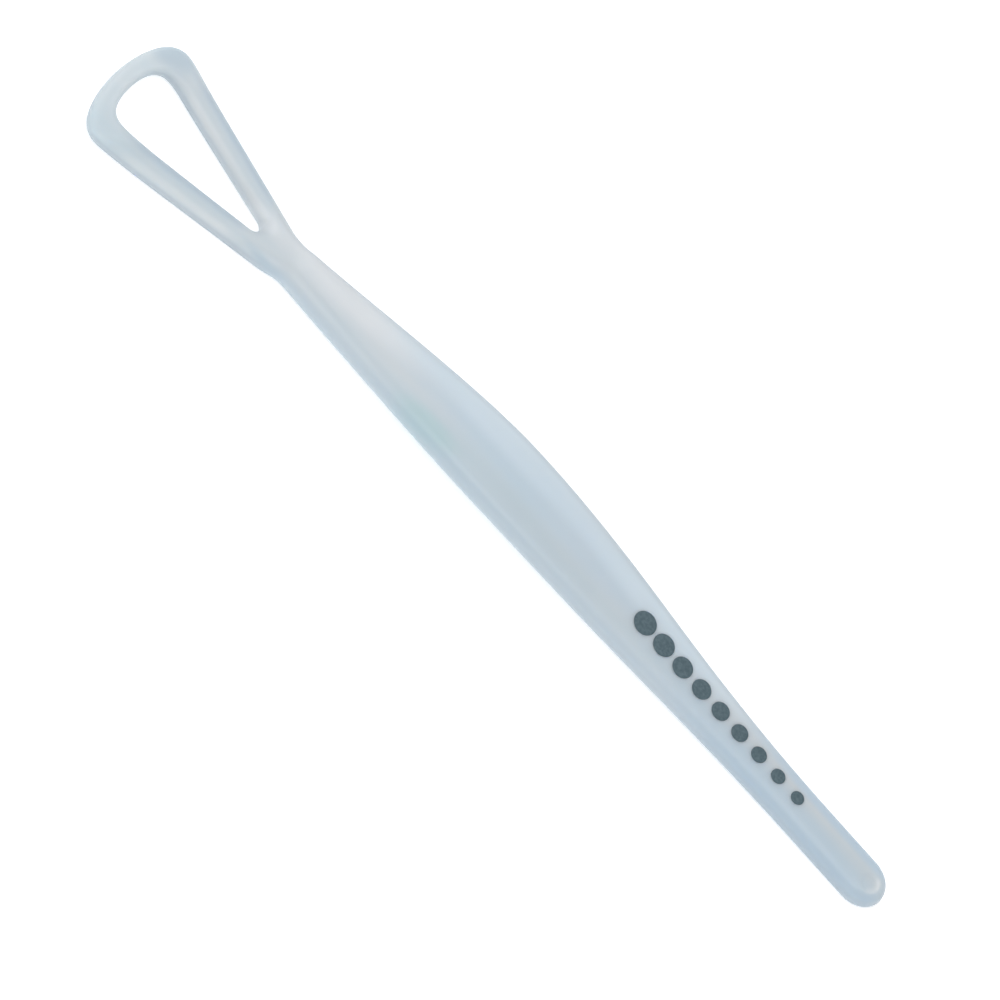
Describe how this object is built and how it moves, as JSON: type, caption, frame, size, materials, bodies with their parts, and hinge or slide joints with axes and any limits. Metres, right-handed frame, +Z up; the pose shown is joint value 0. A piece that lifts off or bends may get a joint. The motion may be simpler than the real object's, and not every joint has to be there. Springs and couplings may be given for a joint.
{
  "type": "tongue scraper",
  "caption": "Loop-head tongue scraper moulded in translucent pale blue plastic, with an arched grip and a slim tail printed with a row of plain dots.",
  "frame": {"origin": "on the table under the middle of the part, which lies on the flat underside of its yoke and of its tail", "axes": "+X from the scraping bow to the end of the tail, +Z up from the table, and +Y to the left of someone who looks along +X"},
  "size_m": [0.18, 0.0244, 0.0083],
  "materials": {
    "plastic": "satin translucent milky pale blue",
    "print_ink": "matte slate blue ink"
  },
  "bodies": {
    "root": {"scraping_bow": "plastic", "left_leg": "plastic", "right_leg": "plastic", "yoke": "plastic", "neck": "plastic", "grip": "plastic", "tail": "plastic", "printed_dots": "print_ink"}
  },
  "joints": []
}
